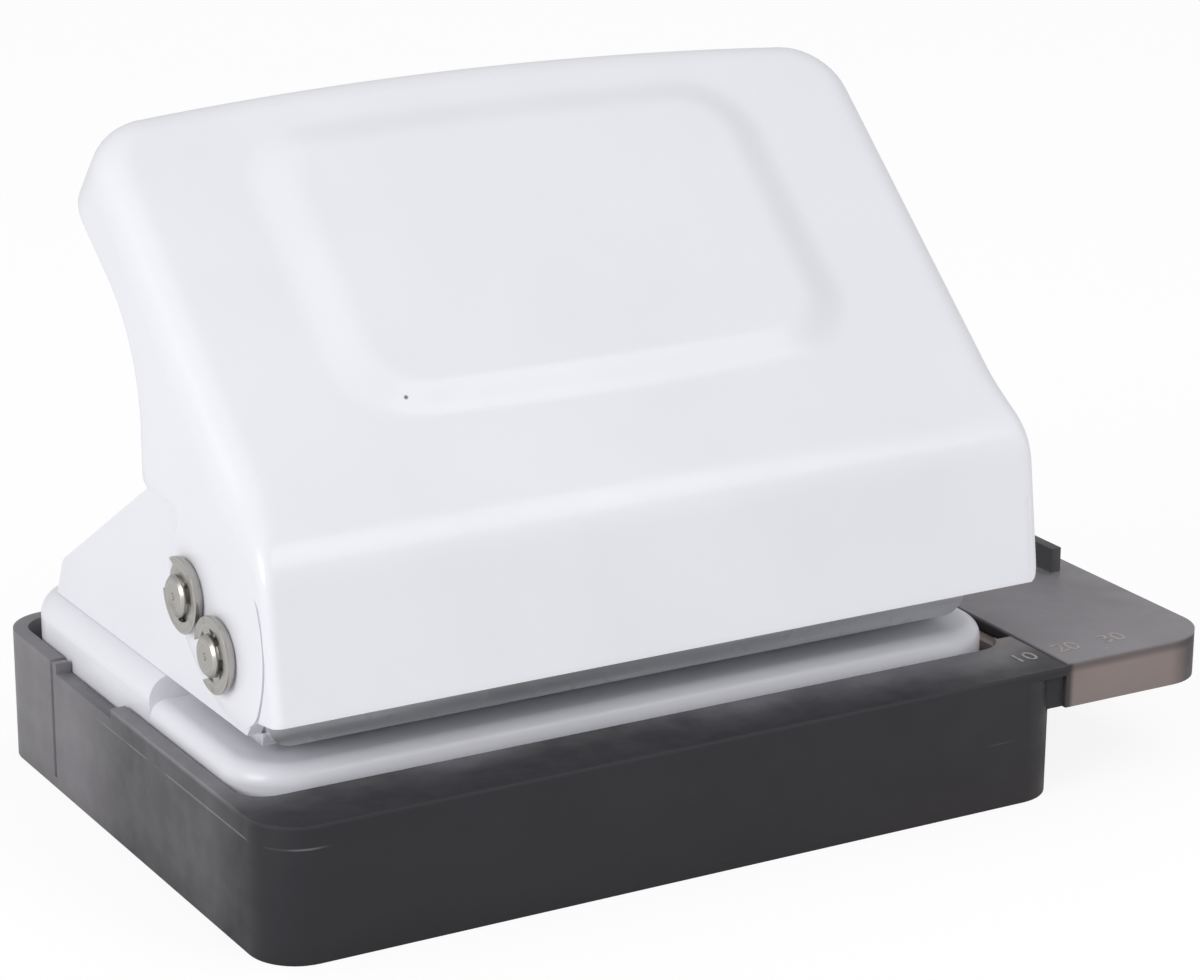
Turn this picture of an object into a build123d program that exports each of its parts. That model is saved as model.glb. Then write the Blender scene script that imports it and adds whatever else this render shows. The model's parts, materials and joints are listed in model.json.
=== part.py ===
from build123d import *
import math
import os

# A hand-pressed two-hole desk punch, in millimetres.
# The origin is the middle of the chip tray's underside. +X is right, +Y is the rear, +Z is up,
# and paper goes in from the front, at -Y.

# ---------------------------------------------------------------- driving dimensions
PITCH = 80.0  # between the two holes
MARGIN = 11.4  # paper edge to hole centre
PUNCH_R = 2.75  # cutter radius
SHEET = 1.2  # pressed steel of the handle and the base
FIT = 0.05  # radial running clearance
LOOSE = 0.3  # between pieces that lie beside each other

TRAY_X = 54.0  # half length
TRAY_Y = 39.7  # half depth
TRAY_H = 16.8
TRAY_R = 6.0
TRAY_WALL = 1.9
TRAY_FRONT_WALL = 1.3
TRAY_FLOOR = 1.5

BASE_X = 51.7  # half length
BASE_FRONT = -29.6
BASE_REAR = 37.4
BASE_R = 8.0
BASE_FOOT = 12.0  # underside of the base's skirt
BED = 19.3  # where the paper lies
PLATFORM = 22.3  # raised rear part of the base
BED_EDGE_R = 2.2
PLATFORM_EDGE_R = 3.0

HANDLE_X = 51.5  # half width over the cheeks
HANDLE_TILT = 41.2  # panel above the horizontal, degrees
HANDLE_KNEE = (-33.8, 45.7)  # where the front face and the panel would meet, as (y, z)
HANDLE_LENGTH = 64.1  # panel, from the knee to the rear flange
FRONT_BOTTOM = (-36.5, 27.4)
KNEE_R = 10.0
EDGE_R = 4.0  # bend between the panel and its flanges
REAR_CORNER_R = 8.5
REAR_BOW = 2.0  # how far the rear edge bows out
PLATEAU_H = 1.0

PIVOT = (-22.63, 31.9)  # pivot pin, as (y, z)
ROD = (-14.28, 36.45)  # actuating rod at rest, as (y, z)
PIN_R = 2.5
PIN_END = 53.5
PRESS = 38.0  # lever travel, degrees

PLATE_X = 49.4  # outer face of a side plate
PLATE_T = 1.8
JAW = 20.8  # underside of the lower guide, above the paper
GUIDE_T = 1.5  # sheet of the lower and upper guides

GUIDE_OUT = 77.0  # right end of the paper guide, pushed in

# ---------------------------------------------------------------- values that follow
rod_arm = math.dist(PIVOT, ROD)
rod_angle = math.degrees(math.atan2(ROD[1] - PIVOT[1], ROD[0] - PIVOT[0]))
end_angle = rod_angle - PRESS
rod_near = rod_arm * math.cos(math.radians(rod_angle))
cutter_y = PIVOT[0] + (rod_near + rod_arm) / 2
stroke = rod_arm * (math.sin(math.radians(rod_angle)) - math.sin(math.radians(end_angle)))
stop_y = cutter_y + MARGIN
plate_inner = PLATE_X - PLATE_T
jaw_top = JAW + GUIDE_T

tilt = math.radians(HANDLE_TILT)
panel_normal = Vector(0, -math.sin(tilt), math.cos(tilt))
panel = Plane(origin=(0, *HANDLE_KNEE), x_dir=(1, 0, 0), z_dir=panel_normal)

os.makedirs("parts", exist_ok=True)


def finish(name, part):
    """Labels a finished piece and writes its STEP file."""
    part.label = name
    export_step(part, f"parts/{name}.step")


def mirrored(part):
    """The same piece on the other side of the punch's middle plane."""
    return mirror(part, about=Plane.YZ)


# ---------------------------------------------------------------- chip tray
SHELF = 10.8  # floor of the guide's channel
SHELF_T = 1.2
DECK_T = 1.2  # skin over the channel
CHANNEL_BACK = -31.2
CHANNEL_LEFT = -49.0  # clear of the tray's rounded corner
POST = 3.0  # posts that carry the base's skirt
POST_Y = (-18.0, 8.0, 30.0)
RIM_DROP = 1.3
NOTCH = (12.5, 17.0)  # finger notch in the left rim: middle and length
LOW_RIM = (-1.0, 53.0)  # lowered part of the right rim: middle and length
SLIT_Y = 22.4
SLIT = 0.8

pocket_x = TRAY_X - TRAY_WALL
pocket_front = BASE_FRONT - LOOSE
pocket_rear = TRAY_Y - TRAY_WALL
front_inside = -TRAY_Y + TRAY_FRONT_WALL
wall_cut = 2 * (TRAY_WALL + 0.1)  # centred on a side face, this just clears the wall

with BuildPart() as chip_tray:
    with BuildSketch():
        RectangleRounded(2 * TRAY_X, 2 * TRAY_Y, TRAY_R)
    extrude(amount=TRAY_H)
    # the front deck runs out to a nearly square corner beside the paper guide
    with BuildSketch(Plane.XY.offset(TRAY_H - DECK_T)):
        with Locations((TRAY_X - TRAY_R, -TRAY_Y + TRAY_R)):
            Rectangle(TRAY_R, TRAY_R, align=(Align.MIN, Align.MAX))
    extrude(amount=DECK_T)
    # chip space under the base
    with BuildSketch(Plane.XY.offset(TRAY_FLOOR)):
        with Locations((0, (front_inside + pocket_rear) / 2)):
            RectangleRounded(2 * pocket_x, pocket_rear - front_inside, TRAY_R - TRAY_WALL)
    extrude(amount=SHELF - SHELF_T - TRAY_FLOOR, mode=Mode.SUBTRACT)
    # opening that the base's skirt drops into
    with BuildSketch(Plane.XY.offset(SHELF - SHELF_T)):
        with Locations((0, (pocket_front + pocket_rear) / 2)):
            RectangleRounded(2 * pocket_x, pocket_rear - pocket_front, TRAY_R - TRAY_WALL)
    extrude(amount=TRAY_H, mode=Mode.SUBTRACT)
    # channel for the paper guide, open at the right
    with BuildSketch(Plane.XY.offset(SHELF)):
        with Locations((CHANNEL_LEFT, front_inside)):
            Rectangle(
                TRAY_X + 1 - CHANNEL_LEFT, CHANNEL_BACK - front_inside, align=(Align.MIN, Align.MIN)
            )
    extrude(amount=TRAY_H - DECK_T - SHELF, mode=Mode.SUBTRACT)
    # posts under the skirt
    with BuildSketch(Plane.XY.offset(TRAY_FLOOR)):
        for side in (-1, 1):
            for y in POST_Y:
                with Locations((side * (pocket_x - POST / 2), y)):
                    Rectangle(POST, 2 * POST)
    extrude(amount=BASE_FOOT - TRAY_FLOOR)
    # lowered rims: a finger notch at the left, a long one at the right
    with BuildSketch(Plane.XY.offset(TRAY_H - RIM_DROP)):
        for side, (middle, length) in ((-1, NOTCH), (1, LOW_RIM)):
            with Locations((side * TRAY_X, middle)):
                Rectangle(wall_cut, length)
    extrude(amount=RIM_DROP, mode=Mode.SUBTRACT)
    # slit that lets the left wall flex off the base
    with BuildSketch(Plane.XY.offset(TRAY_FLOOR)):
        with Locations((-TRAY_X, SLIT_Y)):
            Rectangle(wall_cut, SLIT)
    extrude(amount=TRAY_H, mode=Mode.SUBTRACT)
finish("chip_tray", chip_tray.part)

# ---------------------------------------------------------------- paper guide
GUIDE_TOP = 17.0
GUIDE_WALL = 1.2
GUIDE_FRONT = -38.9
GUIDE_REAR = 8.0
GUIDE_R = 6.0
BAR_LEFT = -48.0
SLIDE = 0.2  # clearance of the bar in its channel
FENCE_X = 71.8
FENCE_T = 1.5
FENCE_Y = (-11.7, 4.0)
FENCE_TOP = 20.6

head_left = TRAY_X + LOOSE
bar_front = front_inside + SLIDE
bar_back = CHANNEL_BACK - SLIDE
bar_bottom = SHELF + SLIDE
bar_top = TRAY_H - DECK_T - SLIDE

with BuildPart() as paper_guide:
    with BuildSketch(Plane.XY.offset(bar_bottom)) as head_outline:
        with Locations((head_left, GUIDE_FRONT)):
            Rectangle(
                GUIDE_OUT - head_left, GUIDE_REAR - GUIDE_FRONT, align=(Align.MIN, Align.MIN)
            )
        fillet(head_outline.vertices().group_by(Axis.X)[-1], radius=GUIDE_R)
    extrude(amount=GUIDE_TOP - bar_bottom)
    with BuildSketch(Plane.XY.offset(bar_bottom)):
        offset(head_outline.sketch, amount=-GUIDE_WALL)
    extrude(amount=GUIDE_TOP - bar_bottom - GUIDE_WALL, mode=Mode.SUBTRACT)
    # bar that runs in the tray's channel
    with BuildSketch(Plane.XY.offset(bar_bottom)):
        with Locations((BAR_LEFT, bar_front)):
            Rectangle(
                head_left + GUIDE_WALL - BAR_LEFT, bar_back - bar_front, align=(Align.MIN, Align.MIN)
            )
    extrude(amount=bar_top - bar_bottom)
    with BuildSketch(Plane.XY.offset(bar_bottom)):
        with Locations((BAR_LEFT + GUIDE_WALL, bar_front + GUIDE_WALL)):
            Rectangle(
                head_left - BAR_LEFT - 2 * GUIDE_WALL,
                bar_back - bar_front - 2 * GUIDE_WALL,
                align=(Align.MIN, Align.MIN),
            )
    extrude(amount=bar_top - bar_bottom - GUIDE_WALL, mode=Mode.SUBTRACT)
    # upright fence that the sheet's edge is laid against
    with BuildSketch(Plane.XY.offset(GUIDE_TOP)):
        with Locations((FENCE_X, FENCE_Y[0])):
            Rectangle(FENCE_T, FENCE_Y[1] - FENCE_Y[0], align=(Align.MIN, Align.MIN))
    extrude(amount=FENCE_TOP - GUIDE_TOP)
finish("paper_guide", paper_guide.part)


# ---------------------------------------------------------------- base plate
RIVET_R = 2.0
RIVET_X = 41.6
RIVET_Y = (8.0, 24.0)


def base_block(inset):
    """The base's outer form, drawn in by inset on every side: a low bed and a raised platform."""
    depth = BASE_REAR - BASE_FRONT - 2 * inset
    middle = (BASE_REAR + BASE_FRONT) / 2
    with BuildPart() as block:
        with BuildSketch(Plane.XY.offset(BASE_FOOT)):
            with Locations((0, middle)):
                RectangleRounded(2 * (BASE_X - inset), depth, BASE_R - inset)
        extrude(amount=PLATFORM - inset - BASE_FOOT)
        with BuildSketch(Plane.XY.offset(BED - inset)):
            with Locations((0, stop_y + inset)):
                Rectangle(3 * BASE_X, 3 * BASE_X, align=(Align.CENTER, Align.MAX))
        extrude(amount=PLATFORM, mode=Mode.SUBTRACT)
        for height, radius in ((BED, BED_EDGE_R), (PLATFORM, PLATFORM_EDGE_R)):
            top = block.faces().filter_by(Axis.Z).filter_by_position(
                Axis.Z, height - inset - 0.01, height - inset + 0.01
            )
            riser = [
                e
                for e in top.edges().filter_by(Axis.X)
                if abs(e.center().Y - stop_y - inset) < 0.01
            ]
            rim = [e for e in top.edges() if e not in riser]
            fillet(rim, radius=radius - inset)
    return block.part


with BuildPart() as base_plate:
    add(base_block(0))
    add(base_block(SHEET), mode=Mode.SUBTRACT)
    # dies under the cutters
    with Locations((PITCH / 2, cutter_y, BED), (-PITCH / 2, cutter_y, BED)):
        Cylinder(PUNCH_R + FIT, 4 * SHEET, mode=Mode.SUBTRACT)
    # rivet holes
    for side in (-1, 1):
        for y in RIVET_Y:
            with Locations((side * RIVET_X, y, PLATFORM)):
                Cylinder(RIVET_R, 4 * SHEET, mode=Mode.SUBTRACT)
finish("base_plate", base_plate.part)

# ---------------------------------------------------------------- side plates
FOOT_WIDTH = 12.0
FOOT_Y = (1.5, 29.0)
PLATE_CORNER_R = 3.0
ROD_CLEAR = 0.35  # radial clearance of the rod in its arc slot
SLOT_SPARE = 1.5  # degrees, at each end of the arc slot
PLATE_OUTLINE = (
    (-24.5, PLATFORM),
    (-28.2, 27.0),
    (-28.2, 35.5),
    (-22.0, 44.5),
    (-17.0, 46.4),
    (-2.0, 46.4),
    (28.7, 27.3),
    (30.9, PLATFORM),
)

with BuildPart() as right_side_plate:
    with BuildSketch(Plane.YZ.offset(plate_inner)) as plate_side:
        with BuildLine():
            Polyline(*PLATE_OUTLINE, close=True)
        make_face()
        fillet(plate_side.vertices().group_by(Axis.Y)[-1], radius=PLATE_CORNER_R)
        rear_corner = plate_side.vertices().sort_by_distance((*PLATE_OUTLINE[-2], 0))[0]
        fillet(rear_corner, radius=PLATE_CORNER_R)
        with Locations(PIVOT):
            Circle(PIN_R + FIT, mode=Mode.SUBTRACT)
        # the rod swings about the pivot in this slot
        with BuildLine():
            rod_path = CenterArc(PIVOT, rod_arm, rod_angle + SLOT_SPARE, -(PRESS + 2 * SLOT_SPARE))
        SlotArc(rod_path, 2 * (PIN_R + ROD_CLEAR), mode=Mode.SUBTRACT)
    extrude(amount=PLATE_T)
    # foot flange, riveted to the platform
    with BuildSketch(Plane.XY.offset(PLATFORM)):
        with Locations((plate_inner, FOOT_Y[0])):
            Rectangle(FOOT_WIDTH, FOOT_Y[1] - FOOT_Y[0], align=(Align.MAX, Align.MIN))
    extrude(amount=PLATE_T)
    for y in RIVET_Y:
        with Locations((RIVET_X, y, PLATFORM + PLATE_T)):
            Cylinder(RIVET_R, 4 * PLATE_T, mode=Mode.SUBTRACT)
finish("right_side_plate", right_side_plate.part)
finish("left_side_plate", mirrored(right_side_plate.part))

# ---------------------------------------------------------------- rivets
HEAD_H = 1.4
TAIL_H = 0.8
UP = (Align.CENTER, Align.CENTER, Align.MIN)  # standing on its place
DOWN = (Align.CENTER, Align.CENTER, Align.MAX)  # hanging from its place

with BuildPart() as frame_rivets:
    for side in (-1, 1):
        for y in RIVET_Y:
            with Locations((side * RIVET_X, y, PLATFORM - SHEET)):
                Cylinder(RIVET_R, SHEET + PLATE_T, align=UP)
                Cylinder(1.5 * RIVET_R, TAIL_H, align=DOWN)
            with Locations((side * RIVET_X, y, PLATFORM + PLATE_T)):
                Cone(2 * RIVET_R, 1.2 * RIVET_R, HEAD_H, align=UP)
finish("frame_rivets", frame_rivets.part)

# ---------------------------------------------------------------- lower guide and upper guide
STRIP_FRONT = -26.3
STRIP_TOP = 28.6
STRIP_CORNER_R = 3.0
BEND_R = 1.2
GUIDE_BACK = stop_y - 2.0
UPPER_GUIDE = 42.2
UPPER_HALF = 7.0  # half depth of the upper guide
UPPER_FLANGE = 4.0
STEM_R = 2.25

with BuildPart() as lower_guide:
    # an angle: a strip at the front, and the plate over the paper behind it
    with BuildSketch(Plane.YZ) as guide_side:
        with BuildLine():
            Polyline(
                (STRIP_FRONT, STRIP_TOP),
                (STRIP_FRONT, JAW),
                (GUIDE_BACK, JAW),
                (GUIDE_BACK, jaw_top),
                (STRIP_FRONT + GUIDE_T, jaw_top),
                (STRIP_FRONT + GUIDE_T, STRIP_TOP),
                close=True,
            )
        make_face()
        fillet(guide_side.vertices().sort_by_distance((0, STRIP_FRONT, JAW))[0], radius=BEND_R)
    extrude(amount=plate_inner, both=True)
    # the strip's lower corners are rounded
    with BuildSketch(Plane.XZ.offset(-STRIP_FRONT)):
        for side in (-1, 1):
            with Locations((side * plate_inner, JAW)):
                Rectangle(2 * STRIP_CORNER_R, 2 * STRIP_CORNER_R)
            with Locations((side * (plate_inner - STRIP_CORNER_R), JAW + STRIP_CORNER_R)):
                Circle(STRIP_CORNER_R, mode=Mode.SUBTRACT)
    extrude(amount=-GUIDE_T, mode=Mode.SUBTRACT)
    with Locations((PITCH / 2, cutter_y, jaw_top), (-PITCH / 2, cutter_y, jaw_top)):
        Cylinder(PUNCH_R + FIT, 4 * GUIDE_T, mode=Mode.SUBTRACT)
finish("lower_guide", lower_guide.part)

with BuildPart() as upper_guide:
    with BuildSketch(Plane.YZ):
        with BuildLine():
            Polyline(
                (cutter_y - UPPER_HALF, UPPER_GUIDE),
                (cutter_y - UPPER_HALF, UPPER_GUIDE + GUIDE_T),
                (cutter_y + UPPER_HALF, UPPER_GUIDE + GUIDE_T),
                (cutter_y + UPPER_HALF, UPPER_GUIDE - UPPER_FLANGE),
                (cutter_y + UPPER_HALF - GUIDE_T, UPPER_GUIDE - UPPER_FLANGE),
                (cutter_y + UPPER_HALF - GUIDE_T, UPPER_GUIDE),
                close=True,
            )
        make_face()
    extrude(amount=plate_inner, both=True)
    with Locations((PITCH / 2, cutter_y, UPPER_GUIDE), (-PITCH / 2, cutter_y, UPPER_GUIDE)):
        Cylinder(STEM_R + FIT, 4 * GUIDE_T, mode=Mode.SUBTRACT)
finish("upper_guide", upper_guide.part)


# ---------------------------------------------------------------- cutters
CUTTER_TIP = 21.2
HEAD_BOTTOM = 32.85
HEAD_TOP = 41.0
STEM_TOP = 51.5
HEAD_X = 9.0
HEAD_Y = 10.4
HEAD_R = 1.5
TIP_HOLLOW = 1.8
TIP_RIM = 0.3
SLOT_CLEAR = 0.2  # all round the rod in the cross slot

rod_drift = rod_arm - rod_near

with BuildPart() as right_cutter:
    with Locations((PITCH / 2, cutter_y, CUTTER_TIP)):
        Cylinder(PUNCH_R, HEAD_BOTTOM - CUTTER_TIP, align=UP)
        Cone(PUNCH_R - TIP_RIM, TIP_RIM, TIP_HOLLOW, align=UP, mode=Mode.SUBTRACT)
    with BuildSketch(Plane.XY.offset(HEAD_BOTTOM)):
        with Locations((PITCH / 2, cutter_y)):
            RectangleRounded(HEAD_X, HEAD_Y, HEAD_R)
    extrude(amount=HEAD_TOP - HEAD_BOTTOM)
    with Locations((PITCH / 2, cutter_y, HEAD_TOP)):
        Cylinder(STEM_R, STEM_TOP - HEAD_TOP, align=UP)
    chamfer(right_cutter.faces().sort_by(Axis.Z)[-1].edges(), length=0.5)
    # cross slot for the rod, longer than it is high because the rod moves in an arc
    with BuildSketch(Plane.YZ.offset(PITCH / 2)):
        with Locations((cutter_y, ROD[1])):
            SlotOverall(rod_drift + 2 * (PIN_R + SLOT_CLEAR), 2 * (PIN_R + SLOT_CLEAR))
    extrude(amount=HEAD_X, both=True, mode=Mode.SUBTRACT)
finish("right_cutter", right_cutter.part)
finish("left_cutter", mirrored(right_cutter.part))

# ---------------------------------------------------------------- return springs
WIRE = 0.55
TURNS = 3.5
coil_r = PUNCH_R + LOOSE + WIRE / 2
coil_start = jaw_top + WIRE / 2
coil_height = HEAD_BOTTOM - jaw_top - WIRE


def coil_point(turn):
    """A point of the coil's centreline, by the number of turns from its lower end."""
    angle = 2 * math.pi * turn
    return Vector(
        PITCH / 2 + coil_r * math.cos(angle),
        cutter_y + coil_r * math.sin(angle),
        coil_start + coil_height * turn / TURNS,
    )


def coil_tangent(turn):
    """The coil's direction at that turn."""
    angle = 2 * math.pi * turn
    rise = coil_height / TURNS / (2 * math.pi)
    return Vector(-coil_r * math.sin(angle), coil_r * math.cos(angle), rise).normalized()


def biarc_joint(start, end, start_way, end_way):
    """Where two tangent arcs meet on the way from start to end, and their common direction there."""
    chord = end - start
    spread = 2 * (1 - start_way.dot(end_way))
    lead = chord.dot(start_way + end_way)
    reach = (math.sqrt(lead * lead + spread * chord.dot(chord)) - lead) / spread
    near = start + start_way * reach
    far = end - end_way * reach
    return (near + far) * 0.5, (far - near).normalized()


STEP = 0.25  # turn of each biarc
with BuildPart() as right_return_spring:
    with BuildLine() as coil:
        for k in range(round(TURNS / STEP)):
            first, last = coil_point(k * STEP), coil_point((k + 1) * STEP)
            way, last_way = coil_tangent(k * STEP), coil_tangent((k + 1) * STEP)
            middle, middle_way = biarc_joint(first, last, way, last_way)
            TangentArc(first, middle, tangent=way)
            TangentArc(middle, last, tangent=middle_way)
    with BuildSketch(Plane(origin=coil_point(0), z_dir=coil_tangent(0))):
        Circle(WIRE / 2)
    sweep()
samples = [coil_point(k / 24) for k in range(round(24 * TURNS) + 1)]
apart = [
    (a - b).length for i, a in enumerate(samples) for j, b in enumerate(samples) if j - i >= 12
]
print("spring: least gap to itself", round(min(apart) - WIRE, 2), "mm, measured on points")
wire_volume = math.pi * WIRE**2 / 4 * math.hypot(2 * math.pi * coil_r * TURNS, coil_height)
print("spring volume", round(right_return_spring.part.volume, 2), "expected", round(wire_volume, 2))
finish("right_return_spring", right_return_spring.part)
finish("left_return_spring", mirrored(right_return_spring.part))


# ---------------------------------------------------------------- handle
FRONT_WRAP = -32.8  # where the front face, bent round the corner, meets the cheek
SLIT_TOP = 41.4
CHEEK_BOTTOM = 24.9
CHEEK_BACK = -2.2
CHEEK_STEP = 45.9
PLATEAU_LOW = (70.6, 41.0, 8.0)  # outline at the panel: width, length, corner radius
PLATEAU_HIGH = (57.0, 33.5, 5.0)  # and on top
PLATEAU_MIDDLE = 36.0  # from the knee, along the panel
FAR = 100.0  # past every edge of the handle
RELIEF = 0.6  # width of the slit beside the front face


def handle_block(inset):
    """The handle's outer form, drawn in by inset: front face, panel and a bowed rear end."""
    width = HANDLE_X - inset
    length = HANDLE_LENGTH - inset
    corner = REAR_CORNER_R - inset
    with BuildPart() as block:
        with BuildSketch(Plane.YZ) as side:
            with BuildLine():
                lean = (HANDLE_KNEE[0] - FRONT_BOTTOM[0]) / (HANDLE_KNEE[1] - FRONT_BOTTOM[1])
                far = Vector(*HANDLE_KNEE) + Vector(math.cos(tilt), math.sin(tilt)) * FAR
                Polyline(
                    (HANDLE_KNEE[0] - lean * HANDLE_KNEE[1], 0),
                    HANDLE_KNEE,
                    (far.X, far.Y),
                    (far.X, 0),
                    close=True,
                )
            make_face()
            fillet(side.vertices().sort_by_distance((0, *HANDLE_KNEE))[0], radius=KNEE_R)
            if inset:
                offset(amount=-inset, mode=Mode.REPLACE)
        extrude(amount=2 * HANDLE_X, both=True)
        with BuildSketch(panel):
            with BuildLine():
                end = length - REAR_BOW
                Line((-width, -FAR), (width, -FAR))
                Line((width, -FAR), (width, end - corner))
                RadiusArc((width, end - corner), (width - corner, end), -corner)
                ThreePointArc((width - corner, end), (0, length), (corner - width, end))
                RadiusArc((corner - width, end), (-width, end - corner), -corner)
                Line((-width, end - corner), (-width, -FAR))
            make_face()
        extrude(amount=FAR, both=True, mode=Mode.INTERSECT)
        skin = block.faces().filter_by(lambda f: f.normal_at().dot(panel_normal) > 0.6)
        walls = block.faces().filter_by(lambda f: abs(f.normal_at().dot(panel_normal)) < 0.1)
        wall_edges = walls.edges()
        fillet([e for e in skin.edges() if e in wall_edges], radius=EDGE_R - inset)
    return block.part


with BuildPart() as plateau:
    for height, (wide, long, corner) in ((0.0, PLATEAU_LOW), (PLATEAU_H, PLATEAU_HIGH)):
        with BuildSketch(panel.offset(height)):
            with Locations((0, PLATEAU_MIDDLE)):
                RectangleRounded(wide, long, corner)
    loft()

with BuildPart() as handle:
    add(handle_block(0))
    add(plateau.part)
    add(handle_block(SHEET), mode=Mode.SUBTRACT)
    add(plateau.part.moved(Location(panel_normal * -SHEET)), mode=Mode.SUBTRACT)
    # side outline: a low tongue round the two pins, and a hollow back edge up to the rear flange
    with BuildSketch(Plane.YZ):
        with BuildLine():
            Line((-FAR, CHEEK_BOTTOM), (-26.0, CHEEK_BOTTOM))
            lobe = Spline(
                (-26.0, CHEEK_BOTTOM),
                (-15.6, 28.6),
                (-9.3, 37.0),
                (-11.4, 44.0),
                tangents=((1, 0), (-0.45, 1)),
            )
            step = JernArc(lobe @ 1, tangent=lobe % 1, radius=1.5, arc_size=-110)
            Line(step @ 1, (CHEEK_BACK - 1.5, CHEEK_STEP))
            heel = ThreePointArc(
                (CHEEK_BACK - 1.5, CHEEK_STEP),
                (CHEEK_BACK - 0.44, CHEEK_STEP + 0.44),
                (CHEEK_BACK, CHEEK_STEP + 1.5),
            )
            back = Line(heel @ 1, (CHEEK_BACK, 52.5))
            hollow = JernArc(back @ 1, tangent=(0, 1), radius=20.0, arc_size=-54)
            top = hollow @ 1 + (hollow % 1) * FAR
            Line(hollow @ 1, top)
            Line(top, (-FAR, top.Y))
            Line((-FAR, top.Y), (-FAR, CHEEK_BOTTOM))
        make_face()
    extrude(amount=2 * HANDLE_X, both=True, mode=Mode.INTERSECT)
    # the front face ends above the cheeks' lower edge
    with BuildSketch(Plane.YZ):
        with Locations((FRONT_WRAP, FRONT_BOTTOM[1])):
            Rectangle(FAR, FAR, align=(Align.MAX, Align.MAX))
    extrude(amount=2 * HANDLE_X, both=True, mode=Mode.SUBTRACT)
    # relief slit between the front face and each cheek
    with BuildSketch(Plane.YZ):
        with Locations((FRONT_WRAP, SLIT_TOP)):
            Rectangle(RELIEF, FAR, align=(Align.CENTER, Align.MAX))
    extrude(amount=2 * HANDLE_X, both=True, mode=Mode.SUBTRACT)
    for centre in (PIVOT, ROD):
        with Locations(Location((0, *centre), (0, 90, 0))):
            Cylinder(PIN_R + FIT, 3 * HANDLE_X, mode=Mode.SUBTRACT)
finish("handle", handle.part)

# ---------------------------------------------------------------- pins, washers and clips
WASHER_IN = HANDLE_X + FIT
WASHER_T = 0.5
WASHER_R = 4.1
CLIP_IN = WASHER_IN + WASHER_T + FIT
CLIP_T = 0.6
CLIP_R = 4.5
CLIP_INNER_R = 3.1
PRONG = (1.4, 1.7)
MOUTH = 4.6
GROOVE_R = 1.9
GROOVE_SPARE = 0.03
PIN_CHAMFER = 0.35
DIMPLE = 0.8


def pin(centre):
    """A plain pin across the punch, grooved near both ends and dimpled on its faces."""
    along_x = Location((0, *centre), (0, 90, 0))
    with BuildPart() as piece:
        with Locations(along_x):
            Cylinder(PIN_R, 2 * PIN_END)
        ends = piece.edges().group_by(Axis.X)
        chamfer(ends[0] + ends[-1], length=PIN_CHAMFER)
        for side in (-1, 1):
            with BuildSketch(Plane.YZ.offset(side * (CLIP_IN - GROOVE_SPARE))):
                with Locations(centre):
                    Circle(PIN_R + 1)
                    Circle(GROOVE_R, mode=Mode.SUBTRACT)
            extrude(amount=side * (CLIP_T + 2 * GROOVE_SPARE), mode=Mode.SUBTRACT)
            with Locations(Location((side * PIN_END, *centre), (0, side * 90, 0))):
                Cone(DIMPLE / 5, DIMPLE, 2 * DIMPLE, mode=Mode.SUBTRACT)
    return piece.part


def washer(centre):
    """A flat washer against the right cheek."""
    with BuildPart() as piece:
        with BuildSketch(Plane.YZ.offset(WASHER_IN)):
            with Locations(centre):
                Circle(WASHER_R)
                Circle(PIN_R + FIT, mode=Mode.SUBTRACT)
        extrude(amount=WASHER_T)
    return piece.part


def clip(centre, mouth):
    """An E-clip at the right: an open ring with three prongs. mouth is where it opens, in degrees."""
    with BuildPart() as piece:
        with BuildSketch(Plane.YZ.offset(CLIP_IN)):
            with Locations(Location((*centre, 0), (0, 0, mouth))):
                Circle(CLIP_R)
                Circle(CLIP_INNER_R, mode=Mode.SUBTRACT)
                reach = (CLIP_INNER_R + GROOVE_R) / 2
                with PolarLocations(reach, 3, start_angle=90, angular_range=180, endpoint=True):
                    Rectangle(*PRONG)
                with Locations((CLIP_R, 0)):
                    Rectangle(1.5 * CLIP_R, MOUTH, mode=Mode.SUBTRACT)
                Circle(GROOVE_R + FIT, mode=Mode.SUBTRACT)
        extrude(amount=CLIP_T)
    return piece.part


finish("pivot_pin", pin(PIVOT))
finish("actuating_rod", pin(ROD))
for holder, centre, mouth in (("pivot", PIVOT, -25), ("rod", ROD, 25)):
    finish(f"{holder}_washer_right", washer(centre))
    finish(f"{holder}_washer_left", mirrored(washer(centre)))
    finish(f"{holder}_clip_right", clip(centre, mouth))
    finish(f"{holder}_clip_left", mirrored(clip(centre, mouth)))

print("cutter stroke", round(stroke, 3), "mm over", PRESS, "degrees")
print("cutter travel per radian", round(stroke / math.radians(PRESS), 4), "mm")
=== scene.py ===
"""Dresses a hand-pressed two-hole desk punch: finished pieces, materials and a plain studio round its frame.

Lengths in the functions are in millimetres, and are scaled once, when a mesh is made. The settings are in
metres and radians, as Blender's units are, and plain() turns their lengths into millimetres.
"""

import json
import math
from types import SimpleNamespace

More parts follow.
